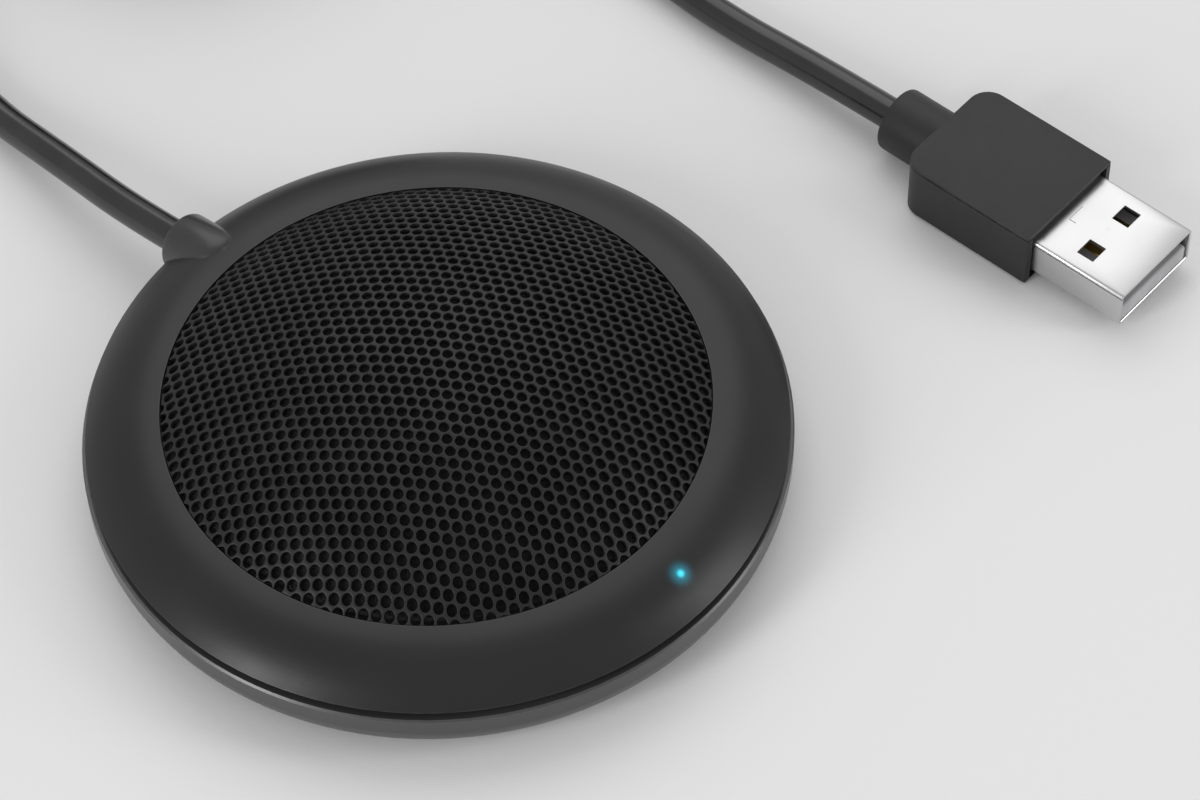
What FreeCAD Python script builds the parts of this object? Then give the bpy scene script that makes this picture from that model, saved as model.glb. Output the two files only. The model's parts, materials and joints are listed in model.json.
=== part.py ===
import FreeCAD, Part
import math
import os
import re

import Sketcher
from FreeCAD import Rotation, Vector

# A desk speakerphone: a round puck with a domed grille, a USB cord and its plug.
# Millimetres, +Z up. The origin is the centre of the face it rests on, the cord
# leaves towards +Y and the status light is on the -Y side.

CELLS = {
    # lower housing
    "rim_radius": 35.4, "rim_low": 4.4, "rim_high": 6.5, "rim_wall": 1.6,
    "under_radius": 32.7, "under_low": 0.9, "under_round": 4.2, "floor_top": 2.5,
    "ledge_high": 4.6, "ledge_radius": 32.3,
    "pad_radius": 27.0, "pad_high": 1.2,
    # upper housing
    "ring_radius": 35.0, "ring_low": 7.2, "ring_high": 10.65, "crown_round": 10.63,
    "edge_bevel": 0.15, "rim_bevel": 0.2,
    "spigot_out": 33.7, "spigot_in": 32.4, "rebate_radius": 28.7, "rebate_high": 10.0,
    "ceiling_high": 8.6,
    # grille: rows of holes along X, every second row shifted by half a step
    "grille_radius": 27.2, "dome_radius": 46.85, "dome_high": 19.3, "grille_thick": 0.7,
    "flange_radius": 28.6, "flange_low": 9.4,
    "hole_step": 2.79, "hole_rows": 2.09, "hole_radius": 0.95, "holes_within": 26.2,
    "cloth_thick": 0.3, "cloth_radius": 26.0, "cloth_gap": 0.05,
    # fasteners
    "screw_circle": 30.4, "screw_shank": 0.7, "screw_head": 1.5, "head_thick": 1.0,
    "boss_radius": 2.0, "ring_boss": 1.6, "boss_split": 5.6, "screw_top": 8.2,
    "board_circle": 24.0, "post_radius": 1.8,
    # loudspeaker
    "speaker_seat": 11.8, "seat_radius": 21.0, "yoke_radius": 10.0, "yoke_low": 3.2,
    "yoke_high": 7.8, "gap_out": 8.0, "gap_in": 7.0, "coil_in": 7.2, "coil_out": 7.7,
    "coil_low": 5.9, "neck_high": 10.1, "cone_radius": 16.4, "cone_high": 12.7,
    "paper_thick": 0.4, "cap_rise": 2.5, "roll_in": 16.7, "roll_out": 18.1, "roll_wall": 0.3,
    "spider_high": 9.0, "spider_radius": 12.8, "spider_wave": 0.3, "spider_thick": 0.25,
    "roll_under": 0.85, "roll_over": 1.4, "basket_gap": 7.0, "basket_gap_high": 2.0,
    # electronics
    "board_low": 4.2, "board_high": 5.2, "board_radius": 27.4, "board_bore": 10.8,
    "mic_circle": 23.4, "mic_radius": 2.0, "boot_radius": 2.6, "boot_high": 8.4,
    "lens_out": 31.7, "lens_high": 9.74, "lens_tilt": 24.5, "lens_length": 3.4,
    "lens_radius": 0.55, "can_radius": 2.0, "can_high": 4.0, "small_circle": 13.0,
    "wire_radius": 0.45, "wire_start": 23.5, "wire_end": 30.0, "wire_high": 7.5,
    # cord and its strain relief
    "cord_radius": 1.8, "gland_high": 6.87, "gland_out": 35.6, "gland_long": 6.75,
    "gland_tilt": 10, "gland_nose": 2.3, "gland_mouth": 3.3, "gland_round": 3.0,
    "coil_x": 54.0, "coil_y": 88.0, "coil_inner": 13.6, "coil_outer": 26.9,
    "coil_low_z": 0.5, "coil_high_z": 14.9, "tie_width": 6.0, "tie_thick": 0.5,
    # plug
    "plug_x": 63.3, "plug_back": -13.9, "plug_face": -30.6, "plug_wide": 14.2,
    "plug_high": 7.28, "plug_corner": 2.4, "recess_deep": 0.6, "recess_side": 0.3,
    "recess_above": 1.0, "tongue_inset": 0.15,
    "collar_radius": 3.6, "collar_end": -7.9, "shell_wide": 12.0, "shell_high": 4.5,
    "shell_wall": 0.3, "shell_out": 11.25, "shell_in": 6.0, "window_wide": 2.3,
    "window_long": 2.05, "window_side": 3.0, "window_from": 4.05, "tongue_thick": 1.84,
    "tongue_wide": 11.1, "contact_wide": 1.0, "contact_thick": 0.15,
}

SCREW_ANGLES = (45, 135, 225, 315)
POST_ANGLES = (0, 180, 270)
TIE_ANGLE = 225
CONTACT_SIDES = (-3.5, -1, 1, 3.5)
WIRE_SIDES = ((-0.55, -0.55), (0.55, -0.55), (-0.55, 0.55), (0.55, 0.55))

# Components on the board: angle, circle and size.
CHIPS = {"usb_audio_chip": (150, 17.5, (7, 7, 0.9)), "amplifier_chip": (215, 17.5, (4, 4, 0.9)),
         "crystal": (118, 17, (3.2, 2.5, 0.8)), "status_led": (270, 30.2, (1.6, 0.8, 0.6)),
         "wire_header": (90, 21.5, (8, 4, 2.8))}

# Points that the cord's centreline turns at, from the strain relief to the coil
# and from the coil to the plug.
LEAD = [(0, 30.5, 7.77), (0, 42, 5.74), (1.3, 56, 3.6), (2.15, 68.5, 1.8), (5, 80, 1.8),
        (13, 92.3, 1.8), (27.4, 101.1, 1.8), (41.7, 109.3, 1.8)]
TAIL = [(82.2, 90, 1.8), (81.5, 72, 1.8), (74, 52, 1.8), (65.5, 36, 1.8), (63.6, 18, 1.8),
        (63.9, 3, 2.6), (63.3, -7.9, 3.64)]

ALONG_Y = Rotation(Vector(1, 0, 0), -90)
ALONG_GLAND = Rotation(Vector(1, 0, 0), -90 - CELLS["gland_tilt"])

doc = FreeCAD.newDocument("speakerphone")
dims = doc.addObject("Spreadsheet::Sheet", "dims")
nodes = []


def fill_sheet():
    for row, (alias, number) in enumerate(CELLS.items(), 1):
        dims.set(f"A{row}", alias)
        dims.set(f"B{row}", str(number))
        dims.setAlias(f"B{row}", alias)
    doc.recompute()


def cells(text):
    """The same formula with every alias (a word with an underscore) read from the sheet."""
    return re.sub(r"[a-z]+_\w+", r"dims.\g<0>", str(text))


def number(text):
    return float(dims.evalExpression(str(text)))


def bind(thing, **formulas):
    for name, text in formulas.items():
        thing.setExpression(name.replace("__", "."), cells(text))


def place(thing, x, y, z):
    bind(thing, Placement__Base__x=x, Placement__Base__y=y, Placement__Base__z=z)


def node(thing, label):
    """Mark an object as one of the finished pieces."""
    thing.Label = label
    nodes.append(thing)
    return thing


def arc_between(start, end, radius):
    """The short arc from start to end: it bends to the right if radius is positive."""
    chord = end - start
    middle = (start + end) * 0.5
    left = Vector(-chord.y, chord.x, 0).normalize() * math.copysign(1, radius)
    rise = abs(radius) - math.sqrt(radius ** 2 - (chord.Length / 2) ** 2)
    ends = (start, end) if radius < 0 else (end, start)
    return Part.Arc(ends[0], middle + left * rise, ends[1])


def draw(sketch, outline):
    """Closed outline of (x, y), or (x, y, radius) where an arc leaves the point."""
    corners = [Vector(number(p[0]), number(p[1]), 0) for p in outline]
    pieces = []
    for i, point in enumerate(outline):
        start, end = corners[i], corners[(i + 1) % len(corners)]
        turn = number(point[2]) if len(point) == 3 else 0
        shape = arc_between(start, end, turn) if turn else Part.LineSegment(start, end)
        first, last = (2, 1) if turn > 0 else (1, 2)
        pieces.append((sketch.addGeometry(shape), first, last))
    for i, point in enumerate(outline):
        piece, first, _ = pieces[i]
        before, _, last = pieces[i - 1]
        sketch.addConstraint(Sketcher.Constraint("Coincident", before, last, piece, first))
        for kind, text in zip(("DistanceX", "DistanceY"), point):
            size = Sketcher.Constraint(kind, -1, 1, piece, first, number(text))
            sketch.setExpression(f"Constraints[{sketch.addConstraint(size)}]", cells(text))
        if len(point) == 3:
            size = Sketcher.Constraint("Radius", piece, abs(number(point[2])))
            formula = cells(str(point[2]).lstrip("-"))
            sketch.setExpression(f"Constraints[{sketch.addConstraint(size)}]", formula)


def sketch_on(body, role, label, outline):
    sketch = body.newObject("Sketcher::SketchObject", label)
    plane = next(f for f in body.Origin.OriginFeatures if f.Role == role)
    sketch.AttachmentSupport = (plane, [""])
    sketch.MapMode = "FlatFace"
    draw(sketch, outline)
    return sketch


def lathe(label, outline):
    """A body turned about Z from an outline of (radius, height)."""
    body = doc.addObject("PartDesign::Body", label)
    sketch = sketch_on(body, "XZ_Plane", label + "_outline", outline)
    turn = body.newObject("PartDesign::Revolution", label + "_turn")
    turn.Profile = sketch
    turn.ReferenceAxis = (sketch, ["V_Axis"])
    turn.Angle = 360
    return body


def ring(label, inner, outer, low, high):
    return lathe(label, [(inner, low), (outer, low), (outer, high), (inner, high)])


def box(label, size, corner, turn=0):
    """A box from one corner, turned about it by an angle about Z."""
    block = doc.addObject("Part::Box", label)
    block.Placement.Rotation = Rotation(Vector(0, 0, 1), turn)
    bind(block, Length=size[0], Width=size[1], Height=size[2])
    place(block, *corner)
    return block


def block_at(label, size, centre, low):
    """A box centred on (x, y) that stands on the height low."""
    x, y = centre
    return box(label, size, (f"{x} - ({size[0]}) / 2", f"{y} - ({size[1]}) / 2", low))


def rod(label, radius, length, foot, turn=None):
    """A cylinder from foot along +Z, or turned about its foot."""
    piece = doc.addObject("Part::Cylinder", label)
    if turn:
        piece.Placement.Rotation = turn
    bind(piece, Radius=radius, Height=length)
    place(piece, *foot)
    return piece


def at_angle(circle, angle):
    return f"{circle} * cos({angle})", f"{circle} * sin({angle})"


def rods_around(label, angles, circle, radius, low, high):
    """Upright cylinders at the given angles of a circle."""
    return [rod(f"{label}_{angle}", radius, f"({high}) - ({low})", (*at_angle(circle, angle), low))
            for angle in angles]


def cut(label, base, tools):
    if len(tools) > 1:
        tools = [fuse(label + "_tools", tools)]
    result = doc.addObject("Part::Cut", label)
    result.Base = base
    result.Tool = tools[0]
    return result


def fuse(label, pieces):
    result = doc.addObject("Part::MultiFuse", label)
    result.Shapes = pieces
    return result


def gland_solid(label, bevel=0.3, past=0):
    """The strain relief's outside, a blunt cone along the cord's first run."""
    body = lathe(label, [(0, "-gland_long"), ("gland_nose", "-gland_long", "-gland_round"),
                         ("gland_mouth - 0.1", "2.15 - gland_long"), ("gland_mouth", -0.3),
                         (f"gland_mouth - {bevel}", past), (0, past)])
    body.Placement.Rotation = ALONG_GLAND
    place(body, 0, "gland_out", "gland_high")
    return body


def gland_hole(label):
    """The same shape, run on past the mouth."""
    return gland_solid(label, 0, 2)


def lens_rod(label, past=0):
    """The light pipe, square to the ring's crown where it comes through."""
    foot = (0, "-(lens_out - lens_length * sin(lens_tilt))",
            "lens_high - lens_length * cos(lens_tilt)")
    tilt = Rotation(Vector(1, 0, 0), number("lens_tilt"))
    return rod(label, "lens_radius", f"lens_length + {past}", foot, tilt)


def make_base_shell():
    pan = lathe("base_pan", [
        (0, "pad_high"), ("pad_radius + 0.1", "pad_high"), ("pad_radius + 0.1", "under_low"),
        ("under_radius", "under_low", "-under_round"), ("rim_radius", "rim_low"),
        ("rim_radius", "rim_high - rim_bevel"), ("rim_radius - rim_bevel", "rim_high"),
        ("rim_radius - rim_wall", "rim_high"),
        ("rim_radius - rim_wall", "ledge_high"), ("ledge_radius", "ledge_high"),
        ("ledge_radius", "floor_top + 1.4"), ("ledge_radius - 0.9", "floor_top"),
        (0, "floor_top")])
    bosses = rods_around("base_boss", SCREW_ANGLES, "screw_circle", "boss_radius",
                         "floor_top - 0.2", "boss_split")
    posts = rods_around("board_post", POST_ANGLES, "board_circle", "post_radius",
                        "floor_top - 0.2", "board_low")
    holes = rods_around("head_hole", SCREW_ANGLES, "screw_circle", "screw_head + 0.3",
                        0, "under_low + head_thick + 0.4")
    holes += rods_around("base_hole", SCREW_ANGLES, "screw_circle", "screw_shank + 0.2",
                         0, "boss_split + 1")
    holes += rods_around("post_hole", POST_ANGLES, "board_circle", "screw_shank",
                         "floor_top + 0.3", "board_low + 1")
    body = fuse("base_body", [pan, *bosses, *posts])
    node(cut("base_shell", body, holes + [gland_hole("base_gland_hole")]), "base_shell")


def make_top_ring():
    crown = lathe("ring_crown", [
        ("grille_radius + 0.1", "ring_high", "crown_round"),
        ("ring_radius", "ring_low + edge_bevel"), ("ring_radius - edge_bevel", "ring_low"),
        ("spigot_out", "ring_low"), ("spigot_out", "ledge_high"), ("spigot_in", "ledge_high"),
        ("spigot_in", "ledge_high + 2.3"), ("spigot_in - 2", "ceiling_high"),
        ("rebate_radius", "ceiling_high"), ("rebate_radius", "rebate_high"),
        ("grille_radius + 0.1", "rebate_high")])
    bosses = rods_around("ring_boss", SCREW_ANGLES, "screw_circle", "ring_boss",
                         "boss_split", "ceiling_high + 0.4")
    holes = rods_around("ring_hole", SCREW_ANGLES, "screw_circle", "screw_shank",
                        "boss_split - 1", "screw_top")
    holes += [gland_hole("ring_gland_hole"), lens_rod("ring_lens_hole", 1)]
    node(cut("top_ring", fuse("ring_body", [crown, *bosses]), holes), "top_ring")


def grille_holes():
    """Round holes square to the dome, in staggered rows."""
    step, rows = number("hole_step"), number("hole_rows")
    radius, within = number("hole_radius"), number("holes_within")
    reach = number("dome_radius")
    centre = Vector(0, 0, number("dome_high") - reach)
    count = int(within / rows) + 1
    drills = []
    for row in range(-count, count + 1):
        for column in range(-count, count + 1):
            x = (column + 0.5 * (row % 2)) * step
            y = row * rows
            if math.hypot(x, y) < within:
                outward = Vector(x, y, math.sqrt(reach ** 2 - x ** 2 - y ** 2)).normalize()
                foot = centre + outward * (reach - 2)
                drills.append(Part.makeCylinder(radius, 3, foot, outward))
    tool = doc.addObject("Part::Feature", "grille_holes")
    tool.Shape = Part.makeCompound(drills)
    return tool


def dome_height(radius, sphere):
    """Height of a sphere about the dome's centre, at a radius from the axis."""
    return f"dome_high - dome_radius + sqrt(({sphere}) ^ 2 - ({radius}) ^ 2)"


def make_grille():
    inner = "dome_radius - grille_thick"
    skirt = "grille_radius - grille_thick"
    blank = lathe("grille_blank", [
        (0, "dome_high", "dome_radius"),
        ("grille_radius", dome_height("grille_radius", "dome_radius")),
        ("grille_radius", "rebate_high"), ("flange_radius", "rebate_high"),
        ("flange_radius", "flange_low"), (skirt, "flange_low"),
        (skirt, dome_height(skirt, inner), "-(dome_radius - grille_thick)"),
        (0, "dome_high - grille_thick")])
    node(cut("grille", blank, [grille_holes()]), "grille")


def make_cloth():
    outer = "dome_radius - grille_thick - cloth_gap"
    inner = f"{outer} - cloth_thick"
    node(lathe("acoustic_cloth", [
        (0, "dome_high - grille_thick - cloth_gap", outer),
        ("cloth_radius", dome_height("cloth_radius", outer)),
        ("cloth_radius", dome_height("cloth_radius", inner), f"-({inner})"),
        (0, "dome_high - grille_thick - cloth_gap - cloth_thick")]), "acoustic_cloth")


def make_speaker_frame():
    frame = lathe("frame_ring", [
        ("flange_radius", "flange_low - 0.7"), ("flange_radius", "flange_low"),
        ("flange_radius - 2.7", "flange_low"), ("seat_radius + 0.6", "speaker_seat"),
        ("seat_radius - 2.1", "speaker_seat"), ("seat_radius - 2.1", "speaker_seat - 0.8"),
        ("seat_radius + 0.2", "speaker_seat - 0.8"), ("flange_radius - 3.2", "flange_low - 0.7")])
    ports = rods_around("mic_port", SCREW_ANGLES, "mic_circle", "mic_radius - 0.7",
                        "boot_high", "speaker_seat + 1")
    node(cut("speaker_frame", frame, ports), "speaker_frame")


def make_screws(label, angles, circle, head_low, shank_low, shank_high):
    """Identical screws, each a pan head and a plain shank."""
    heads = rods_around(label + "_head", angles, circle, "screw_head",
                        head_low, f"{head_low} + head_thick")
    shanks = rods_around(label + "_shank", angles, circle, "screw_shank", shank_low, shank_high)
    node(fuse(label, heads + shanks), label)


def make_housing():
    make_base_shell()
    make_top_ring()
    make_grille()
    make_cloth()
    make_speaker_frame()
    node(ring("foot_pad", 0, "pad_radius", 0, "pad_high"), "foot_pad")
    node(lens_rod("led_lens"), "led_lens")
    bore = rod("gland_bore", "cord_radius", "gland_long + 4",
               (0, "gland_out - (gland_long + 1) * cos(gland_tilt)",
                "gland_high + (gland_long + 1) * sin(gland_tilt)"), ALONG_GLAND)
    node(cut("strain_relief", gland_solid("gland_blank"), [bore]), "strain_relief")
    make_screws("housing_screws", SCREW_ANGLES, "screw_circle", "under_low + 0.4",
                "under_low + head_thick + 0.3", "screw_top")
    plate = ring("plate_blank", "board_bore", "pad_radius", "floor_top", "floor_top + 1.2")
    around_posts = rods_around("plate_hole", POST_ANGLES, "board_circle", "post_radius + 0.3",
                               0, "floor_top + 3")
    node(cut("ballast_plate", plate, around_posts), "ballast_plate")


def make_basket():
    shell = lathe("basket_shell", [
        ("gap_out + 0.8", "yoke_high"), ("spider_radius - 0.6", "yoke_high"),
        ("spider_radius + 0.6", "yoke_high + 0.8"), ("seat_radius - 2.1", "speaker_seat"),
        ("seat_radius", "speaker_seat"), ("seat_radius", "cone_high"),
        ("roll_out + 0.1", "cone_high"), ("spider_radius + 0.1", "spider_high"),
        ("spider_radius - 1.1", "spider_high"), ("spider_radius - 1.5", "yoke_high + 0.5"),
        ("gap_out + 0.8", "yoke_high + 0.5")])
    windows = [box(f"basket_window_{angle}", ("seat_radius", "basket_gap", "basket_gap_high"),
                   (f"basket_gap / 2 * sin({angle})", f"-basket_gap / 2 * cos({angle})",
                    "spider_high + 0.3"), angle) for angle in SCREW_ANGLES]
    return node(cut("speaker_basket", shell, windows), "speaker_basket")


def make_motor():
    node(lathe("speaker_yoke", [
        (0, "yoke_low"), ("yoke_radius", "yoke_low"), ("yoke_radius", "yoke_high"),
        ("gap_out", "yoke_high"), ("gap_out", "yoke_low + 1"), (0, "yoke_low + 1")]),
        "speaker_yoke")
    node(ring("speaker_magnet", 0, "gap_in - 0.4", "yoke_low + 1", "yoke_high - 1"),
         "speaker_magnet")
    node(ring("speaker_top_plate", 0, "gap_in", "yoke_high - 1", "yoke_high"),
         "speaker_top_plate")


def cap_sphere(radius, rise):
    """Radius of the sphere whose cap has this radius and rise."""
    return f"({radius} ^ 2 + {rise} ^ 2) / (2 * {rise})"


def make_cone():
    node(ring("voice_coil", "coil_in", "coil_out", "coil_low", "neck_high"), "voice_coil")
    node(lathe("speaker_cone", [
        ("coil_out", "neck_high - 0.5"), ("cone_radius - 1", "cone_high - paper_thick"),
        ("cone_radius", "cone_high - paper_thick"), ("cone_radius", "cone_high"),
        ("cone_radius - 1.2", "cone_high"), ("coil_out", "neck_high")]), "speaker_cone")
    node(lathe("dust_cap", [
        ("coil_in", "neck_high"), ("coil_out", "neck_high", "-" + cap_sphere("coil_out", "cap_rise")),
        (0, "neck_high + cap_rise"),
        (0, "neck_high + cap_rise - paper_thick", cap_sphere("coil_in", "(cap_rise - paper_thick)"))]),
        "dust_cap")


def make_suspension():
    node(lathe("cone_surround", [
        ("cone_radius - 1", "cone_high"), ("roll_in", "cone_high", "roll_under"),
        ("roll_out", "cone_high"), ("seat_radius - 0.6", "cone_high"),
        ("seat_radius - 0.6", "cone_high + roll_wall"),
        ("roll_out + roll_wall", "cone_high + roll_wall", "-roll_over"),
        ("roll_in - roll_wall", "cone_high + roll_wall"),
        ("cone_radius - 1", "cone_high + roll_wall")]), "cone_surround")
    waves = [("coil_out", 0), ("coil_out + 0.9", 0), ("coil_out + 1.5", 1), ("coil_out + 2.1", 0),
             ("coil_out + 2.7", 1), ("coil_out + 3.3", 0), ("spider_radius", 0)]
    under = [(r, f"spider_high + spider_wave * {wave}") for r, wave in waves]
    over = [(r, f"{height} + spider_thick") for r, height in reversed(under)]
    node(lathe("speaker_spider", under + over), "speaker_spider")


def make_speaker():
    basket = make_basket()
    make_motor()
    make_cone()
    make_suspension()
    strip = block_at("terminal_blank", (3.8, 4.4, 0.8), (-16.5, 0), "spider_high")
    node(cut("speaker_terminals", strip, [basket]), "speaker_terminals")
    leads = [rod(f"speaker_lead_{side}", 0.4, "spider_high - board_high", (-17.5, side, "board_high"))
             for side in (-1.2, 1.2)]
    node(fuse("speaker_leads", leads), "speaker_leads")


def make_board():
    disc = ring("board_disc", "board_bore", "board_radius", "board_low", "board_high")
    tab = box("board_tab", (6.4, 6, "board_high - board_low"), (-3.2, -31.9, "board_low"))
    holes = rods_around("board_hole", POST_ANGLES, "board_circle", "screw_shank + 0.2",
                        "board_low - 1", "board_high + 1")
    node(cut("main_board", fuse("board_blank", [disc, tab]), holes), "main_board")


def chip(label, angle, circle, size):
    """A component on the board, square to it, at an angle of a circle."""
    return block_at(label, size, at_angle(circle, angle), "board_high")


def make_components():
    for label, (angle, circle, size) in CHIPS.items():
        node(chip(label, angle, circle, size), label)
    node(fuse("capacitors", rods_around("capacitor", (25, 335), 18.5, "can_radius", "board_high",
                                        "board_high + can_high")), "capacitors")
    parts = [chip(f"small_part_{angle}", angle, "small_circle", (1.6, 0.8, 0.6))
             for angle in range(0, 360, 40)]
    node(fuse("small_parts", parts), "small_parts")
    wires = [rod(f"usb_wire_{i}", "wire_radius", "wire_end - wire_start",
                 (x, "wire_start", f"wire_high + {z}"), ALONG_Y)
             for i, (x, z) in enumerate(WIRE_SIDES)]
    node(fuse("usb_wires", wires), "usb_wires")


def make_microphones():
    boots = rods_around("boot", SCREW_ANGLES, "mic_circle", "boot_radius",
                        "board_high", "boot_high")
    mouths = rods_around("boot_mouth", SCREW_ANGLES, "mic_circle", "mic_radius",
                         "board_high + 1.2", "boot_high + 1")
    node(cut("mic_boots", fuse("boot_blanks", boots), mouths), "mic_boots")
    capsules = rods_around("capsule", SCREW_ANGLES, "mic_circle", "mic_radius",
                           "board_high + 1.2", "board_high + 2.7")
    node(fuse("mic_capsules", capsules), "mic_capsules")


def make_electronics():
    make_board()
    make_components()
    make_microphones()
    make_screws("board_screws", POST_ANGLES, "board_circle", "board_high",
                "floor_top + 0.5", "board_high + 0.2")


def rounded_path(label, points):
    """Straight runs joined by tangent arcs, and the tightest radius of the arcs."""
    points = [Vector(*p) for p in points]
    edges, start, radii = [], points[0], []
    for before, corner, after in zip(points, points[1:], points[2:]):
        back, ahead = before - corner, after - corner
        half_turn = (math.pi - back.getAngle(ahead)) / 2
        trim = 0.45 * min(back.Length, ahead.Length)
        radius = trim / math.tan(half_turn)
        back.normalize()
        ahead.normalize()
        bisector = (back + ahead).normalize()
        centre = corner + bisector * (radius / math.cos(half_turn))
        edges.append(Part.LineSegment(start, corner + back * trim).toShape())
        start = corner + ahead * trim
        edges.append(Part.Arc(corner + back * trim, centre - bisector * radius, start).toShape())
        radii.append(radius)
    edges.append(Part.LineSegment(start, points[-1]).toShape())
    path = doc.addObject("Part::Feature", label)
    path.Shape = Part.Wire(edges)
    print(label, "arc radii", [round(r, 1) for r in radii])
    return path


def cord(label, points):
    """The cord's round section carried along its route."""
    path = rounded_path(label + "_route", points)
    section = doc.addObject("Part::Circle", label + "_section")
    bind(section, Radius="cord_radius")
    first_run = Vector(*points[1]) - Vector(*points[0])
    section.Placement.Base = Vector(*points[0])
    section.Placement.Rotation = Rotation(Vector(0, 0, 1), first_run)
    tube = doc.addObject("Part::Sweep", label)
    tube.Sections = [section]
    tube.Spine = (path, [])
    tube.Solid = True
    tube.Frenet = False
    return node(tube, label), path


def tie_block(label, wide, past, low):
    """A box round the coil's section at the tie, as far past the strap's inner face as given."""
    near, side = f"(coil_inner - 0.4 - {past})", f"({wide}) / 2"
    size = (f"coil_outer - coil_inner + 0.5 + 2 * {past}", wide, f"coil_high_z + {past} - {low}")
    return box(label, size, (f"coil_x + {near} * cos({TIE_ANGLE}) + {side} * sin({TIE_ANGLE})",
                             f"coil_y + {near} * sin({TIE_ANGLE}) - {side} * cos({TIE_ANGLE})",
                             low), TIE_ANGLE)


def make_cord():
    tubes = [cord("cord_lead", LEAD), cord("cord_tail", TAIL)]
    coil = ring("cord_coil", "coil_inner", "coil_outer", "coil_low_z", "coil_high_z")
    place(coil, "coil_x", "coil_y", 0)
    node(coil, "cord_coil")
    strap = tie_block("tie_blank", "tie_width", "tie_thick", 0)
    hole = tie_block("tie_hole", "tie_width + 2", "0", "tie_thick")
    node(cut("coil_tie", strap, [hole]), "coil_tie")
    return tubes


def plug_block(label, wide, high, back, face, wall="0"):
    """A box about the plug's axis between two positions along Y, less a wall all round."""
    x = f"plug_x - ({wide}) / 2 + {wall}"
    z = f"(plug_high - ({high})) / 2 + {wall}"
    size = (f"{wide} - 2 * {wall}", f"({back}) - ({face})", f"{high} - 2 * {wall}")
    return box(label, size, (x, face, z))


def make_overmould():
    body = doc.addObject("PartDesign::Body", "mould_body")
    side = "plug_wide / 2"
    front, back, corner = "plug_face", "plug_back", "plug_corner"
    outline = [
        (f"-{side}", front), (side, front), (side, f"{back} - {corner}", f"-{corner}"),
        (f"{side} - {corner}", back), (f"-{side} + {corner}", back, f"-{corner}"),
        (f"-{side}", f"{back} - {corner}")]
    sketch = sketch_on(body, "XY_Plane", "mould_outline", outline)
    pad = body.newObject("PartDesign::Pad", "mould_pad")
    pad.Profile = sketch
    bind(pad, Length="plug_high")
    place(body, "plug_x", 0, 0)
    collar = rod("mould_collar", "collar_radius", "collar_end - plug_back + 1",
                 ("plug_x", "plug_back - 1", "plug_high / 2"), ALONG_Y)
    recess = plug_block("mould_recess", "shell_wide + 2 * recess_side",
                        "shell_high + 2 * recess_above", "plug_face + recess_deep",
                        "plug_face - 1")
    pocket = plug_block("mould_pocket", "shell_wide", "shell_high",
                        "plug_face + shell_in", "plug_face - 2")
    whole = fuse("mould_whole", [body, collar])
    node(cut("plug_overmould", whole, [recess, pocket]), "plug_overmould")


def make_plug():
    make_overmould()
    back, face = "plug_face + shell_in", "plug_face - shell_out"
    outer = plug_block("shell_outer", "shell_wide", "shell_high", back, face)
    inner = plug_block("shell_inner", "shell_wide", "shell_high", f"{back} + 1", f"{face} - 1",
                       "shell_wall")
    windows = [box(f"shell_window_{side}", ("window_wide", "window_long", 20),
                   (f"plug_x + {side} * window_side - window_wide / 2",
                    "plug_face - window_from - window_long", -5)) for side in (-1, 1)]
    node(cut("plug_shell", outer, [inner, *windows]), "plug_shell")
    low = "(plug_high - shell_high) / 2 + shell_wall"
    tongue = box("plug_tongue", ("tongue_wide", "shell_in + shell_out - tongue_inset",
                                 "tongue_thick"),
                 ("plug_x - tongue_wide / 2", "plug_face - shell_out + tongue_inset", low))
    node(tongue, "plug_tongue")
    size = ("contact_wide", "shell_in + shell_out - 2", "contact_thick")
    contacts = [box(f"contact_{i}", size, (f"plug_x + {x} - contact_wide / 2",
                    "plug_face - shell_out + 1.5", f"{low} + tongue_thick"))
                for i, x in enumerate(CONTACT_SIDES)]
    node(fuse("plug_contacts", contacts), "plug_contacts")


def check_and_export(tubes):
    doc.recompute()
    for thing in doc.Objects:
        bad = {"Invalid", "Error"} & set(thing.State)
        if bad:
            raise RuntimeError(f"{thing.Label}: {thing.State}")
    for piece in nodes:
        if piece.Shape.isNull() or not piece.Shape.isValid() or not piece.Shape.Solids:
            raise RuntimeError(f"{piece.Label} isn't a valid solid")
    section = math.pi * number("cord_radius") ** 2
    for tube, path in tubes:
        ratio = tube.Shape.Volume / (section * path.Shape.Length)
        print(tube.Label, "length", round(path.Shape.Length, 1), "volume ratio", round(ratio, 4))
    os.makedirs("parts", exist_ok=True)
    for piece in nodes:
        piece.Shape.exportStep(f"parts/{piece.Label}.step")


fill_sheet()
make_housing()
make_speaker()
make_electronics()
make_plug()
check_and_export(make_cord())
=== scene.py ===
"""Looks of the desk speakerphone: puck, perforated dome, USB cord and plug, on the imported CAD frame."""
import json
import math

import bmesh
import bpy
from mathutils import Matrix, Vector


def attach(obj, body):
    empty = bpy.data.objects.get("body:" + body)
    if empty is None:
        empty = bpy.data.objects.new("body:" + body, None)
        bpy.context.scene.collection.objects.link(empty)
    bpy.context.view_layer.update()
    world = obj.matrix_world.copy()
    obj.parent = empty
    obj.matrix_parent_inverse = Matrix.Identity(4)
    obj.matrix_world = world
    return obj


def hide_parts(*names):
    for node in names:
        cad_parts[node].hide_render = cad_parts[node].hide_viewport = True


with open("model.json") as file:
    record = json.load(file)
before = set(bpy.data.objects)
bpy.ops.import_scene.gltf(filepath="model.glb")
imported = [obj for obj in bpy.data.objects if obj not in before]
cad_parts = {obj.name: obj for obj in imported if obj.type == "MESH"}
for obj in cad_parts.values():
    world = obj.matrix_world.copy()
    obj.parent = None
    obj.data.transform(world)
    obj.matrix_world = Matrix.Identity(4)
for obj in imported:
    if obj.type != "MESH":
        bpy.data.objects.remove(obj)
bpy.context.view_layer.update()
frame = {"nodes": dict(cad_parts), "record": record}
NODES = frame["nodes"]
MM = 0.001

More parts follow.
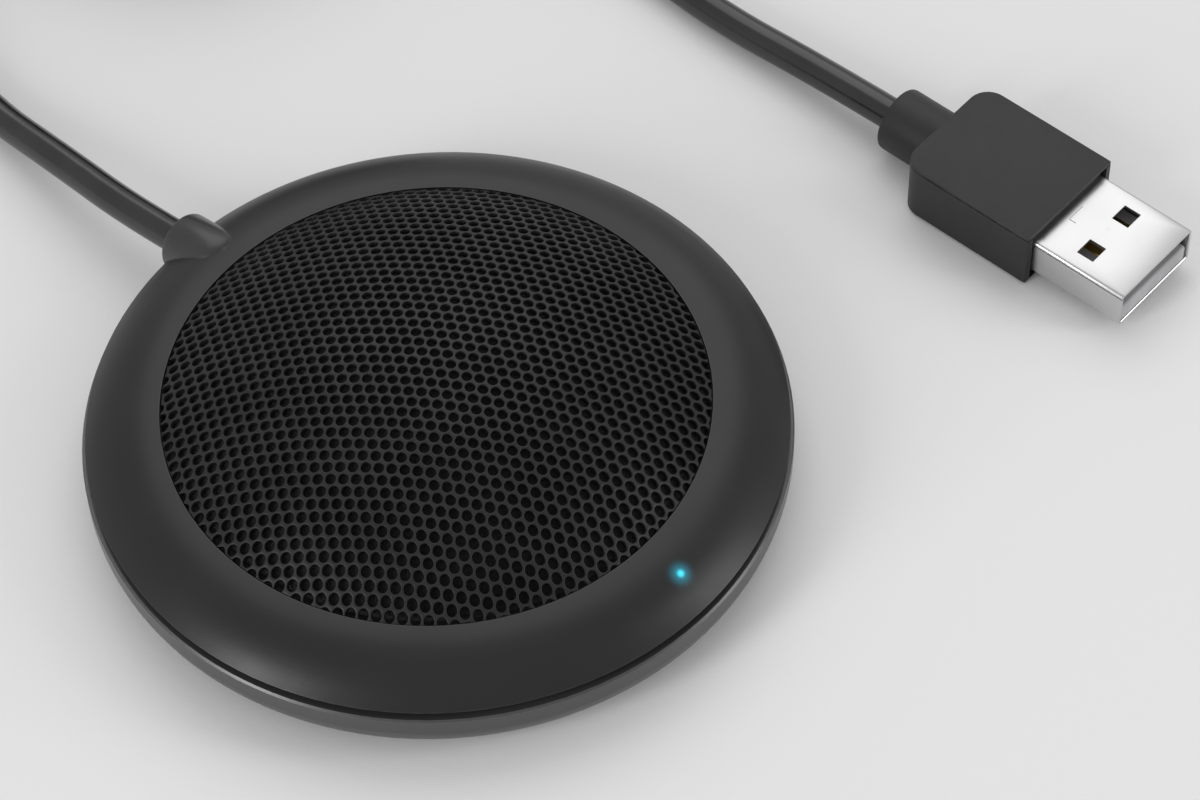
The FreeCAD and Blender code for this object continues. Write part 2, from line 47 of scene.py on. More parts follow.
# Sizes that the CAD shares, in metres.
CORD_RADIUS = 1.8 * MM
COIL_CENTRE = Vector((54 * MM, 88 * MM, 0))
COIL_LOW, COIL_HIGH = 2.3 * MM, 13.1 * MM
COIL_OUTER, COIL_INNER = 24.6 * MM, 15.4 * MM
LAYERS = 4
LAYER_TURN = math.radians(907.5)
TURN_STEP = math.radians(20)
DOME_RADIUS, DOME_HIGH = 46.85 * MM, 19.28 * MM
LAMP = (0, -31.7 * MM, 9.74 * MM)
RELIEF_MOUTH = Vector((0, 35.6 * MM, 6.87 * MM))
RELIEF_TILT = math.radians(-10)
PLUG_X = 63.3 * MM
PLUG_MIDDLE = 3.64 * MM

# The cord's route: the same points as the CAD tubes follow.
LEAD = [(0, 30.5, 7.77), (0, 42, 5.74), (1.3, 56, 3.6), (2.15, 68.5, 1.8), (5, 80, 1.8),
        (13, 92.3, 1.8), (27.4, 101.1, 1.8), (41.7, 109.3, 1.8)]
TAIL = [(82.2, 90, 1.8), (81.5, 72, 1.8), (74, 52, 1.8), (65.5, 36, 1.8), (63.6, 18, 1.8),
        (63.9, 3, 2.6), (63.3, -7.9, 3.64)]


# ---------------------------------------------------------------- materials

WAVE_SCALE = 0.314  # a wave texture's scale for bands one metre apart


class Shader:
    """A Principled material whose nodes are added one call at a time."""

    def __init__(self, name, color, roughness, **sockets):
        self.material = bpy.data.materials.new(name)
        self.material.use_nodes = True
        self.tree = self.material.node_tree
        self.body = self.tree.nodes["Principled BSDF"]
        self.color = color
        self.roughness = roughness
        self.height = None
        self.body.inputs["Base Color"].default_value = (*color, 1)
        self.body.inputs["Roughness"].default_value = roughness
        for socket, value in sockets.items():
            self.body.inputs[socket.replace("_", " ")].default_value = value
        self.place = self.add("ShaderNodeTexCoord").outputs["Object"]

    def add(self, kind, **settings):
        node = self.tree.nodes.new(kind)
        for name, value in settings.items():
            setattr(node, name, value)
        return node

    def join(self, source, target):
        self.tree.links.new(source, target)
        return self

    def put(self, node, **inputs):
        """Set a node's inputs by name or number to values or to other nodes' outputs."""
        for name, value in inputs.items():
            key = int(name[1:]) if name[1:].isdigit() else name.replace("_", " ")
            if isinstance(value, bpy.types.NodeSocket):
                self.join(value, node.inputs[key])
            else:
                node.inputs[key].default_value = value
        return node

    def noise(self, scale, detail=3.0, rough=0.5, stretch=None):
        place = self.place
        if stretch:
            place = self.put(self.add("ShaderNodeMapping"), Vector=place, Scale=stretch).outputs[0]
        node = self.put(self.add("ShaderNodeTexNoise"), Vector=place, Scale=scale, Detail=detail,
                        Roughness=rough)
        return node.outputs["Fac"]

    def from_lamp(self):
        """Distance from the status light."""
        node = self.add("ShaderNodeVectorMath", operation="DISTANCE")
        return self.put(node, _0=self.place, _1=LAMP).outputs["Value"]

    def fit(self, value, low, high, out_low, out_high):
        node = self.put(self.add("ShaderNodeMapRange", interpolation_type="SMOOTHSTEP"), Value=value,
                        From_Min=low, From_Max=high, To_Min=out_low, To_Max=out_high)
        return node.outputs["Result"]

    def math(self, operation, a, b=0.0):
        return self.put(self.add("ShaderNodeMath", operation=operation), _0=a, _1=b).outputs[0]

    def blend(self, amount, a, b):
        node = self.add("ShaderNodeMix", data_type="RGBA")
        for key, value in ((0, amount), (6, a), (7, b)):
            if isinstance(value, bpy.types.NodeSocket):
                self.join(value, node.inputs[key])
            else:
                node.inputs[key].default_value = value if key == 0 else (*value[:3], 1)
        return node.outputs[2]

    def paint(self, amount, color):
        """Lay a colour over what is there, by amount."""
        base = self.body.inputs["Base Color"]
        below = base.links[0].from_socket if base.links else tuple(self.color)
        self.join(self.blend(amount, below, color), base)
        return self

    def mottle(self, scale, amount, detail=4.0):
        """Slow variation of colour and roughness, as handling and moulding leave it."""
        cloud = self.noise(scale, detail)
        darker = [c * (1 - amount) for c in self.color]
        lighter = [min(1, c * (1 + amount)) for c in self.color]
        self.join(self.blend(self.fit(cloud, 0.3, 0.7, 0, 1), darker, lighter),
                  self.body.inputs["Base Color"])
        patches = self.noise(scale * 2.7, detail)
        span = 0.5 * amount * self.roughness
        self.join(self.fit(patches, 0.3, 0.7, self.roughness - span, self.roughness + span),
                  self.body.inputs["Roughness"])
        return self

    def bump(self, height, depth, strength=1.0):
        """Add a height map, of that depth in metres, below the ones already there."""
        node = self.put(self.add("ShaderNodeBump"), Height=height, Distance=depth, Strength=strength)
        if self.height:
            self.join(self.height, node.inputs["Normal"])
        self.height = node.outputs["Normal"]
        self.join(self.height, self.body.inputs["Normal"])
        return self

    def edges(self, radius, color, amount):
        """Paler where a corner is sharper than the radius: partly wear, partly a painted highlight along
        the edges.
        """
        bevel = self.put(self.add("ShaderNodeBevel", samples=4), Radius=radius)
        flat = self.add("ShaderNodeNewGeometry").outputs["Normal"]
        dot = self.add("ShaderNodeVectorMath", operation="DOT_PRODUCT")
        self.join(bevel.outputs[0], dot.inputs[0]).join(flat, dot.inputs[1])
        # Painted highlight mixed with wear: corners are paled in the colour, partly standing in for light
        # caught on the edges.
        wear_and_highlight = self.fit(dot.outputs["Value"], 0.75, 0.98, amount, 0.0)
        patchy = self.math("MULTIPLY", wear_and_highlight, self.fit(self.noise(900, 3), 0.35, 0.6, 0.2, 1))
        return self.paint(patchy, color)


def cover(material, *pieces):
    for piece in pieces:
        target = NODES[piece] if isinstance(piece, str) else piece
        target.data.materials.clear()
        target.data.materials.append(material)


def plain(name, color, roughness, cloud=120, amount=0.12, grain=0, depth=0.0, **sockets):
    """A moulded, cast or coated surface: slow mottling and, where given, a fine grain."""
    shader = Shader(name, color, roughness, **sockets).mottle(cloud, amount)
    if grain:
        shader.bump(shader.noise(grain, 2), depth)
    return shader


def housing_black():
    """Fine-grained moulding, with a painted glow round the status light's lens: the housing itself emits
    light there.
    """
    shader = plain("housing_black", (0.0125, 0.0125, 0.013), 0.36, 45, 0.1, 5200, 6e-6,
                   Specular_IOR_Level=0.36)
    # Paler edges: partly wear, partly a painted highlight on the ring's lip and corners.
    shader.edges(0.3 * MM, (0.06, 0.06, 0.064), 0.5)
    # Painted glow: the housing emits cyan light round the lens, standing in for the status light's spill
    # onto the ring.
    painted_glow = shader.fit(shader.from_lamp(), 0.3 * MM, 2.2 * MM, 1, 0)
    shader.put(shader.body, Emission_Color=(0.02, 0.5, 0.7, 1),
               Emission_Strength=shader.math("MULTIPLY", shader.math("POWER", painted_glow, 3.0), 0.35))
    return shader.material


def rim_black():
    """The smoother, shinier moulding of the lower housing."""
    shader = plain("rim_black", (0.035, 0.035, 0.036), 0.34, 60, 0.08, 4200, 5e-6,
                   Specular_IOR_Level=0.8)
    # Paler edges: partly wear, partly a painted highlight along the band's top edge.
    return shader.edges(0.2 * MM, (0.2, 0.2, 0.21), 0.8).material


def weave(name, color, pitch, depth):
    """Two crossing sets of threads over the surface."""
    shader = Shader(name, color, 0.9, Sheen_Weight=0.2).mottle(90, 0.25)
    threads = []
    for axis in ("X", "Y"):
        wave = shader.add("ShaderNodeTexWave", bands_direction=axis, wave_profile="SIN")
        shader.put(wave, Vector=shader.place, Scale=WAVE_SCALE / pitch, Distortion=0.6, Detail=1.0)
        threads.append(wave.outputs["Fac"])
    cloth = shader.math("MAXIMUM", *threads)
    shader.paint(shader.fit(cloth, 0.2, 0.9, 0.7, 0), [c * 0.35 for c in color])
    return shader.bump(cloth, depth).material


def metal(name, color, roughness, scratch=0.25, stretch=(1, 12, 1), amount=0.08):
    """Bare or plated metal with fine brushed lines and a few scuffs."""
    shader = Shader(name, color, roughness, Metallic=1.0).mottle(150, amount)
    lines = shader.noise(2600, 3, 0.6, stretch)
    shader.bump(lines, 2e-6, scratch)
    scuff = shader.fit(shader.noise(700, 5, 0.7), 0.62, 0.75, 0, 0.35)
    return shader.paint(scuff, [c * 0.75 for c in color]).material


def jacket():
    """Glossy extruded PVC, with the faint lengthwise unevenness of a drawn jacket."""
    shader = plain("cord_jacket", (0.014, 0.014, 0.015), 0.2, 160, 0.2, 2600, 8e-6,
                   Specular_IOR_Level=0.6)
    dust = shader.fit(shader.noise(2200, 5, 0.7), 0.66, 0.8, 0, 0.25)
    return shader.paint(dust, (0.1, 0.1, 0.1)).bump(shader.noise(320, 2), 2.5e-5).material


def board():
    shader = plain("board_green", (0.012, 0.09, 0.04), 0.3, 260, 0.15, Coat_Weight=0.3)
    trace = shader.put(shader.add("ShaderNodeTexVoronoi", distance="CHEBYCHEV",
                                  feature="DISTANCE_TO_EDGE"), Vector=shader.place, Scale=420.0)
    line = shader.fit(trace.outputs["Distance"], 0.03, 0.07, 1, 0)
    return shader.paint(line, (0.03, 0.17, 0.07)).bump(line, 2e-5).material


def wound(name, color, pitch):
    """Enamelled wire wound about Z."""
    shader = Shader(name, color, 0.3, Metallic=1.0).mottle(200, 0.15)
    wave = shader.add("ShaderNodeTexWave", bands_direction="Z", wave_profile="SIN")
    shader.put(wave, Vector=shader.place, Scale=WAVE_SCALE / pitch)
    return shader.paint(shader.fit(wave.outputs["Fac"], 0, 0.4, 0.8, 0),
                        [c * 0.25 for c in color]).bump(wave.outputs["Fac"], 5e-5).material


def lit_lens():
    """The light pipe: a small bright core in a dark tinted rod."""
    shader = Shader("light_pipe", (0.01, 0.05, 0.065), 0.3)
    shader.paint(shader.fit(shader.noise(4000, 3), 0.3, 0.7, 0, 0.3), (0.02, 0.1, 0.12))
    glow = shader.fit(shader.from_lamp(), 0.08 * MM, 0.55 * MM, 1.25, 0.2)
    shader.put(shader.body, Emission_Color=(0.05, 0.7, 0.93, 1), Emission_Strength=glow)
    return shader.material


def moulded_plug():
    shader = plain("plug_mould", (0.02, 0.02, 0.021), 0.5, 300, 0.05, 6000, 7e-6,
                   Specular_IOR_Level=0.35)
    # Paler edges: partly wear, partly a painted highlight along the block's edges.
    return shader.edges(0.2 * MM, (0.1, 0.1, 0.1), 0.7).material


def relief():
    shader = plain("relief_rubber", (0.028, 0.028, 0.03), 0.3, 140, 0.15, 4000, 6e-6)
    # Paler edges: partly wear, partly a painted highlight on the corners.
    return shader.edges(0.25 * MM, (0.11, 0.11, 0.115), 0.7).material


FINISHES = {
    "housing_black": housing_black(),
    "grille_black": plain("grille_black", (0.011, 0.011, 0.0115), 0.45, 130, 0.2, 5200, 6e-6,
                          Specular_IOR_Level=0.32).material,
    "cloth_black": weave("cloth_black", (0.004, 0.004, 0.0045), 0.25 * MM, 6e-5),
    "frame_plastic": plain("frame_plastic", (0.03, 0.03, 0.033), 0.6, 110, 0.15, 3000, 1e-5).material,
    "foot_rubber": plain("foot_rubber", (0.012, 0.012, 0.012), 0.8, 150, 0.3, 1500, 5e-5).material,
    "light_pipe": lit_lens(),
    "relief_rubber": relief(),
    "zinc_steel": metal("zinc_steel", (0.5, 0.51, 0.53), 0.35),
    "magnet_nickel": metal("magnet_nickel", (0.6, 0.58, 0.54), 0.25),
    "cone_paper": plain("cone_paper", (0.02, 0.02, 0.021), 0.85, 300, 0.3, 2500, 6e-5,
                        Sheen_Weight=0.3).material,
    "spider_cloth": weave("spider_cloth", (0.5, 0.33, 0.1), 0.3 * MM, 8e-5),
    "surround_rubber": plain("surround_rubber", (0.012, 0.012, 0.013), 0.5, 200, 0.2, 2500,
                             1e-5).material,
    "coil_copper": wound("coil_copper", (0.7, 0.27, 0.1), 0.16 * MM),
    "board_green": board(),
    "chip_black": plain("chip_black", (0.015, 0.015, 0.016), 0.55, 400, 0.15, 6000, 8e-6).material,
    "can_metal": metal("can_metal", (0.75, 0.75, 0.76), 0.3),
    "ceramic": plain("ceramic", (0.5, 0.36, 0.22), 0.5, 500, 0.2, 5000, 6e-6).material,
    "led_white": plain("led_white", (0.8, 0.8, 0.72), 0.4, 400, 0.1, 4000, 5e-6).material,
    "wire_insulation": plain("wire_insulation", (0.4, 0.01, 0.008), 0.35, 300, 0.2, 3000,
                             6e-6).material,
    "cord_jacket": jacket(),
    "tie_strap": plain("tie_strap", (0.02, 0.02, 0.021), 0.45, 200, 0.2, 3500, 1.5e-5).material,
    "plug_mould": moulded_plug(),
    "plug_nickel": metal("plug_nickel", (0.6, 0.6, 0.605), 0.32, 0.15, (8, 1, 1), 0.03),
    "tongue_grey": plain("tongue_grey", (0.4, 0.4, 0.41), 0.5, 300, 0.12, 5000, 6e-6).material,
    "contact_gold": metal("contact_gold", (0.85, 0.58, 0.2), 0.25),
}
for part in frame["record"]["subparts"]:
    cover(FINISHES[part["material_slot"]], part["node"])
# The lower housing shares the ring's slot, in a smoother finish.
cover(rim_black(), "base_shell")


# ------------------------------------------------------------------- shapes

def mesh_piece(name, points, faces, slot, sharp=35):
    """A new piece in the row frame, in its slot's finish, smooth but for its corners."""
    mesh = bpy.data.meshes.new(name)
    mesh.from_pydata([tuple(p) for p in points], [], faces)
    tidy = bmesh.new()
    tidy.from_mesh(mesh)
    bmesh.ops.remove_doubles(tidy, verts=tidy.verts, dist=0.004 * MM)
    bmesh.ops.dissolve_degenerate(tidy, edges=tidy.edges, dist=0.002 * MM)
    bmesh.ops.recalc_face_normals(tidy, faces=tidy.faces)
    tidy.to_mesh(mesh)
    tidy.free()
    mesh.shade_smooth()
    mesh.set_sharp_from_angle(angle=math.radians(sharp))
    piece = bpy.data.objects.new(name, mesh)
    bpy.context.scene.collection.objects.link(piece)
    cover(FINISHES[slot], piece)
    return piece


def stack(rings, closed=False):
    """Points and faces of a skin over rings of equal count, capped unless it closes on itself."""
    count = len(rings[0])
    points = [p for ring in rings for p in ring]
    faces = []
    pairs = len(rings) if closed else len(rings) - 1
    for level in range(pairs):
        low, high = level * count, (level + 1) % len(rings) * count
        faces += [(low + i, low + (i + 1) % count, high + (i + 1) % count, high + i)
                  for i in range(count)]
    if not closed:
        faces += [tuple(range(count))[::-1], tuple(range(len(points) - count, len(points)))]
    return points, faces


def together(*parts):
    """Several skins as one."""
    points, faces = [], []
    for more_points, more_faces in parts:
        faces += [tuple(i + len(points) for i in face) for face in more_faces]
        points += more_points
    return points, faces


def rounded(wide, deep, radii, inset=0.0, steps=7):
    """A rectangle about the origin with its corners rounded, from the +X -Y one anticlockwise."""
    x, y = wide / 2 - inset, deep / 2 - inset
    loop = []
    for corner, (sx, sy) in enumerate(((1, -1), (1, 1), (-1, 1), (-1, -1))):
        radius = max(radii[corner] - inset, 0.02 * MM)
        for i in range(steps + 1):
            angle = math.radians(90 * (corner - 1) + 90 * i / steps)
            loop.append((sx * (x - radius) + radius * math.cos(angle),
                         sy * (y - radius) + radius * math.sin(angle)))
    return loop


def turned(profile, centre, count=72):
    """Rings of a shape turned about a line along Y, from (distance along Y, radius)."""
    return [[(centre[0] + r * math.cos(2 * math.pi * i / count), y,
              centre[1] + r * math.sin(2 * math.pi * i / count)) for i in range(count)]
            for y, r in profile]


# --------------------------------------------------------------------- cord

def coil_points():
    """Four layers of neat turns, then once down the outside to the floor."""
    steps = round(LAYER_TURN / TURN_STEP)
    step = LAYER_TURN / steps
    rise = 2 * CORD_RADIUS
    climbing, leaning, sink = 3, 4, 1.6 * MM
    path = []
    for layer in range(LAYERS):
        for i in range(steps):
            along = i / steps
            inward = along if layer % 2 == 0 else 1 - along
            climb = max(0.0, (i - steps + climbing) / climbing) if layer < LAYERS - 1 else 0.0
            path.append((COIL_OUTER + (COIL_INNER - COIL_OUTER) * inward,
                         COIL_LOW + rise * (layer + climb), layer * LAYER_TURN + i * step))
    end = LAYERS * LAYER_TURN
    for i in range(leaning + 1):
        lean = math.radians(90 * i / leaning)
        path.append((COIL_OUTER + rise * math.sin(lean),
                     COIL_HIGH - rise + rise * math.cos(lean) - max(0, i - 2) * sink,
                     end + i * step * 0.9))
    swell = 1 / (0.75 + 0.25 * math.cos(step))  # the spline runs inside its points by this much
    start = math.radians(120)
    return [COIL_CENTRE + Vector((r * swell * math.cos(start - a),
                                  r * swell * math.sin(start - a), z)) for r, z, a in path]


def make_cord():
    """One spline from the strain relief, through the coil, to the plug."""
    path = [Vector(p) * MM for p in LEAD[:-1]] + coil_points() + [Vector(p) * MM for p in TAIL]
    curve = bpy.data.curves.new("cord", "CURVE")
    curve.dimensions = "3D"
    curve.resolution_u = 8
    curve.bevel_depth = CORD_RADIUS
    curve.bevel_resolution = 7
    curve.use_fill_caps = True
    line = curve.splines.new("NURBS")
    line.points.add(len(path) - 1)
    for point, place in zip(line.points, path):
        point.co = (*place, 1)
    line.order_u = 3
    line.use_endpoint_u = True
    cord = bpy.data.objects.new("cord", curve)
    bpy.context.scene.collection.objects.link(cord)
    cover(FINISHES["cord_jacket"], cord)
    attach(cord, "housing")
    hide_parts("cord_lead", "cord_coil", "cord_tail")
    return cord


# ------------------------------------------------------------------- camera

def aim_camera():
    """The camera, by azimuth, height, roll and distance from what it looks at."""
    azimuth, height, roll = math.radians(-47.5), math.radians(52.31), math.radians(-1.6)
    target, distance = Vector((16.27, -6.97, 0)), 397.7
    back = Vector((math.sin(azimuth) * math.cos(height), -math.cos(azimuth) * math.cos(height),
                   math.sin(height)))
    right = Vector((math.cos(azimuth), math.sin(azimuth), 0))
    up = back.cross(right)
    across = math.cos(roll) * right + math.sin(roll) * up
    upright = math.cos(roll) * up - math.sin(roll) * right
    lens = bpy.data.cameras.new("camera")
    lens.lens, lens.sensor_width = 117.1, 36.0
    lens.clip_start, lens.clip_end = 0.01, 50.0
    camera = bpy.data.objects.new("camera", lens)
    bpy.context.scene.collection.objects.link(camera)
    turn = Matrix((across, upright, back)).transposed().to_4x4()
    camera.matrix_world = Matrix.Translation(target * MM + back * distance * MM) @ turn
    bpy.context.scene.camera = camera


aim_camera()
cord = make_cord()


# --------------------------------------------------------- floor and lights

def make_floor():
    """A plain pale floor."""
    shader = Shader("floor", (0.76, 0.76, 0.76), 0.7).mottle(3, 0.02)
    shader.bump(shader.noise(900, 3), 2e-5)
    size = 3.0
    mesh = bpy.data.meshes.new("floor")
    mesh.from_pydata([(-size, -size, 0), (size, -size, 0), (size, size, 0), (-size, size, 0)], [],
                     [(0, 1, 2, 3)])
    floor = bpy.data.objects.new("floor", mesh)
    bpy.context.scene.collection.objects.link(floor)
    cover(shader.material, floor)


def softbox(name, place, target, size, power):
    """A rectangular light at a place, turned towards a target."""
    light = bpy.data.lights.new(name, "AREA")
    light.shape = "RECTANGLE"
    light.size, light.size_y = size
    light.energy = power
    lamp = bpy.data.objects.new(name, light)
    bpy.context.scene.collection.objects.link(lamp)
    lamp.location = place
    lamp.rotation_euler = (Vector(target) - Vector(place)).to_track_quat("-Z", "Y").to_euler()


def light_studio():
    """One large soft light ahead of the camera and two side strips, in a pale room."""
    world = bpy.data.worlds.new("studio")
    world.use_nodes = True
    room = world.node_tree.nodes["Background"]
    room.inputs["Color"].default_value = (1.0, 1.0, 1.0, 1)
    room.inputs["Strength"].default_value = 0.56
    bpy.context.scene.world = world
    bpy.context.scene.view_settings.view_transform = "Standard"
    softbox("overhead", (0.40, 0.32, 0.65), (0.02, 0, 0), (0.75, 0.75), 2.0)
    softbox("left_strip", (-0.6, 0.1, 0.22), (0, 0, 0), (0.15, 0.5), 2.2)
    softbox("right_strip", (0.35, -0.5, 0.22), (0, 0, 0), (0.15, 0.5), 1.2)


# ------------------------------------------------------------------- grille

def perforated_dome():
    """The dome's real hole pattern: staggered rows, cut off where the ring covers them."""
    step, row = 1.396 * MM, 1.044 * MM
    edge = 27.2 * MM
    hole, roll, thick = 0.52 * MM, 0.05 * MM, 0.55 * MM
    peak = (step ** 2 / 4 + row ** 2) / (2 * row)
    side = (row ** 2 - step ** 2 / 4) / (2 * row)
    corners = [(step / 2, -side), (step / 2, side), (0, peak), (-step / 2, side),
               (-step / 2, -side), (0, -peak)]
    count = 16
    angles = [math.radians(360 / count * i) for i in range(count)]
    spokes = [(math.cos(angle), math.sin(angle)) for angle in angles]

    def cell_edge(dx, dy):
        """Distance from a hole's middle to its cell's edge along a direction."""
        ways = []
        for (ax, ay), (bx, by) in zip(corners, corners[1:] + corners[:1]):
            nx, ny = by - ay, ax - bx
            facing = dx * nx + dy * ny
            if facing > 0:
                ways.append((ax * nx + ay * ny) / facing)
        return min(ways)

    def on_dome(x, y, depth):
        """The point of the dome's wall over a place, that deep, and no further out than its edge."""
        shrink = min(1, edge / math.hypot(x, y))
        x, y = x * shrink, y * shrink
        up = math.sqrt(DOME_RADIUS ** 2 - x ** 2 - y ** 2)
        scale = 1 - depth / DOME_RADIUS
        return x * scale, y * scale, up * scale + DOME_HIGH - DOME_RADIUS

    levels = [([cell_edge(dx, dy) for dx, dy in spokes], 0.0), ([hole + roll] * count, 0.0),
              ([hole + 0.3 * roll] * count, 0.3 * roll), ([hole] * count, 1.2 * roll),
              ([hole] * count, thick)]
    points, faces = [], []
    rows = int(edge / row) + 2
    for line in range(-rows, rows + 1):
        for column in range(-rows, rows + 1):
            x, y = (column + 0.5 * (line % 2)) * step, line * row
            if math.hypot(x, y) > edge + peak:
                continue
            first = len(points)
            for spans, depth in levels:
                points += [on_dome(x + dx * span, y + dy * span, depth)
                           for (dx, dy), span in zip(spokes, spans)]
            for level in range(len(levels) - 1):
                for i in range(count):
                    a, b = first + count * level + i, first + count * level + (i + 1) % count
                    faces.append((a, b, b + count, a + count))
    brim = [(27.2, 10.605), (27.2, 10.0), (28.6, 10.0), (28.6, 9.45), (26.6, 9.45)]
    rings = [[(r * MM * math.cos(math.radians(2 * i)), r * MM * math.sin(math.radians(2 * i)), z * MM)
              for i in range(180)] for r, z in brim]
    skirt_points, skirt_faces = stack(rings)
    dome = mesh_piece("grille_dome", *together((points, faces), (skirt_points, skirt_faces[:-2])),
                      "grille_black", 50)
    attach(dome, "housing")
    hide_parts("grille")


# -------------------------------------------------------- strain relief, tie

def make_relief():
    """The blunt bullet that the cord comes out of, tilted nose up."""
    profile = [(-7.0, 0.02), (-6.98, 1.6), (-6.9, 2.05), (-6.7, 2.42), (-6.4, 2.7), (-6.0, 2.92),
               (-5.5, 3.07), (-4.8, 3.17), (-3.8, 3.22), (-0.3, 3.27), (-0.1, 3.2), (0, 3.05),
               (-0.02, 2.5), (-0.3, 2.1), (-0.8, 1.84), (-2.0, 1.8)]
    tilt = Matrix.Translation(RELIEF_MOUTH) @ Matrix.Rotation(RELIEF_TILT, 4, "X")
    rings = [[tilt @ Vector(p) for p in ring]
             for ring in turned([(y * MM, r * MM) for y, r in profile], (0, 0))]
    piece = mesh_piece("strain_relief_bullet", *stack(rings), "relief_rubber", 60)
    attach(piece, "housing")
    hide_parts("strain_relief")
    return piece


def make_tie():
    """A flat strap round the coil at one place, its corners rounded."""
    angle = math.radians(225)
    out = Vector((math.cos(angle), math.sin(angle), 0))
    along = Vector((math.sin(angle), -math.cos(angle), 0))
    middle = (COIL_CENTRE + out * (COIL_OUTER + COIL_INNER) / 2
              + Vector((0, 0, (COIL_LOW + COIL_HIGH) / 2)))
    half, edge, thick = 3 * MM, 0.12 * MM, 0.5 * MM

    def outline(inset):
        return rounded(14.2 * MM, 15.4 * MM, [2.6 * MM] * 4, inset, 8)

    outer, bevelled, inner = outline(0.02 * MM), outline(edge), outline(thick)
    slices = [(inner, -half), (bevelled, -half), (outer, edge - half), (outer, half - edge),
              (bevelled, half), (inner, half)]
    rings = [[middle + out * u + Vector((0, 0, v)) + along * w for u, v in loop]
             for loop, w in slices]
    strap = mesh_piece("coil_strap", *stack(rings, True), "tie_strap")
    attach(strap, "housing")
    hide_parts("coil_tie")
    return strap


# --------------------------------------------------------------------- plug

def slab(wide, deep, radii, centre, levels, steps=7):
    """A block about a point, as (height, inset) levels of a rounded outline."""
    return stack([[(centre[0] + x, centre[1] + y, z)
                   for x, y in rounded(wide, deep, radii, inset, steps)] for z, inset in levels])


def cutter(centre, size):
    """A box about a point, as a skin to cut with."""
    x, y, z = (s / 2 for s in size)
    points = [(centre[0] + sx * x, centre[1] + sy * y, centre[2] + sz * z)
              for sz in (-1, 1) for sx, sy in ((-1, -1), (1, -1), (1, 1), (-1, 1))]
    return points, [(0, 3, 2, 1), (4, 5, 6, 7), (0, 1, 5, 4), (1, 2, 6, 5), (2, 3, 7, 6),
                    (3, 0, 4, 7)]


def carve(piece, cuts, sharp):
    """Take closed skins out of a piece."""
    points, faces = together(*cuts)
    tool_mesh = bpy.data.meshes.new("cuts")
    tool_mesh.from_pydata(points, [], faces)
    tool = bpy.data.objects.new("cuts", tool_mesh)
    bpy.context.scene.collection.objects.link(tool)
    change = piece.modifiers.new("cuts", "BOOLEAN")
    change.operation, change.solver, change.object = "DIFFERENCE", "EXACT", tool
    change.use_self = True
    bpy.context.view_layer.update()
    graph = bpy.context.evaluated_depsgraph_get()
    result = bpy.data.meshes.new_from_object(piece.evaluated_get(graph))
    piece.modifiers.clear()
    piece.data = result
    result.shade_smooth()
    result.set_sharp_from_angle(angle=math.radians(sharp))
    bpy.data.objects.remove(tool)


def make_overmould():
    """The plug's grip: a crisp block with a parting line, a sunk front and a collar."""
    back, face = -13.9 * MM, -30.6 * MM
    corner, sharp = 2.4 * MM, 0.2 * MM
    recess = (12.6 * MM, 1.2 * MM, 6.5 * MM)
    block = slab(14.2 * MM, back - face, [sharp, corner, corner, sharp],
                 (PLUG_X, (back + face) / 2),
                 [(z * MM, inset * MM) for z, inset in
                  [(0, 0.5), (0.12, 0.2), (0.4, 0), (6.76, 0), (6.8, 0.13), (6.95, 0.13),
                   (7.0, 0), (7.17, 0.02), (7.25, 0.09), (7.28, 0.2)]])
    collar = stack(turned([(y * MM, r * MM) for y, r in
                           [(-15, 3.6), (-8.35, 3.6), (-8.1, 3.54), (-7.95, 3.4), (-7.9, 3.2),
                            (-7.9, 2.3), (-8.3, 1.95), (-9.0, 1.8)]], (PLUG_X, PLUG_MIDDLE)))
    grip = mesh_piece("plug_grip", *together(block, collar), "plug_mould", 30)
    carve(grip, [cutter((PLUG_X, face, PLUG_MIDDLE), recess)], 30)
    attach(grip, "housing")
    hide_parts("plug_overmould")
    return grip


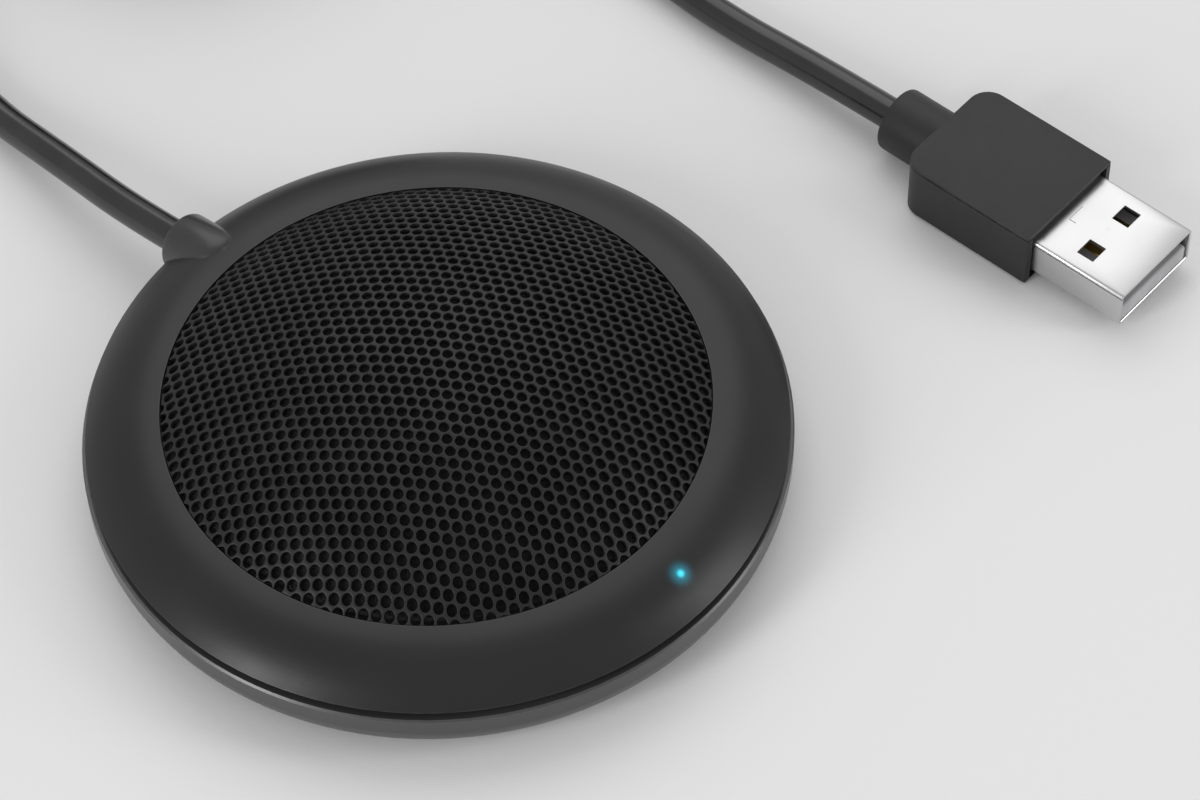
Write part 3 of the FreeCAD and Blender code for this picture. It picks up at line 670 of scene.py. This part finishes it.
def make_shell():
    """The folded metal shell: open mouth, two windows above and below, seam and tab mark."""
    back, mouth, lip = -27.0 * MM, -41.85 * MM, 0.07 * MM
    wide, high, wall = 12 * MM, 4.5 * MM, 0.3 * MM
    turn = [0.4 * MM] * 4
    slices = [(0, back), (0, mouth + lip), (0.35 * lip, mouth + 0.3 * lip), (lip, mouth),
              (wall - lip, mouth), (wall, mouth + lip), (wall, back)]
    rings = [[(PLUG_X + x, y, PLUG_MIDDLE + z) for x, z in rounded(wide, high, turn, inset, 6)]
             for inset, y in slices]
    shell = mesh_piece("plug_metal_shell", *stack(rings, True), "plug_nickel", 32)
    top = PLUG_MIDDLE + high / 2
    window = (2.3 * MM, 2.05 * MM, 20 * MM)
    cuts = [cutter((PLUG_X + side * 3 * MM, -35.675 * MM, PLUG_MIDDLE), window)
            for side in (-1, 1)]
    line, deep = 0.09 * MM, 0.16 * MM
    cuts.append(cutter((PLUG_X, -31.4 * MM, top), (2.3 * MM, line, deep)))
    cuts.append(cutter((PLUG_X - 1.1 * MM, -31.8 * MM, top), (line, 0.9 * MM, deep)))
    seam = (0.3 * MM, 20 * MM, deep)
    cuts.append(cutter((PLUG_X - wide / 2, -35.7 * MM, top - 0.42 * MM), seam))
    carve(shell, cuts, 32)
    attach(shell, "housing")
    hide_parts("plug_shell")
    return shell


def make_tongue():
    """The insulating tongue with its chamfered nose, and four contacts set into it."""
    low, thick = PLUG_MIDDLE - 1.95 * MM, 1.84 * MM
    nose, back = -41.7 * MM, -25.0 * MM
    block = slab(11.1 * MM, back - nose, [0.3 * MM] * 4, (PLUG_X, (back + nose) / 2),
                 [(low, 0.1 * MM), (low + 0.1 * MM, 0), (low + thick - 0.3 * MM, 0),
                  (low + thick - 0.1 * MM, 0.08 * MM), (low + thick, 0.25 * MM)], 4)
    tongue = mesh_piece("plug_insulator", *block, "tongue_grey", 30)
    strips = []
    for side in (-3.5, -1, 1, 3.5):
        strips.append(slab(1.0 * MM, 14 * MM, [0.25 * MM] * 4,
                           (PLUG_X + side * MM, nose + 8.6 * MM),
                           [(low + thick - 0.05 * MM, 0), (low + thick + 0.05 * MM, 0),
                            (low + thick + 0.12 * MM, 0.08 * MM)], 4))
    gold = mesh_piece("plug_contact_strips", *together(*strips), "contact_gold", 40)
    for piece, node in ((tongue, "plug_tongue"), (gold, "plug_contacts")):
        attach(piece, "housing")
        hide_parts(node)
    return [tongue, gold]


make_floor()
light_studio()
perforated_dome()
on_cord = [make_relief(), make_tie(), make_overmould(), make_shell(), *make_tongue()]
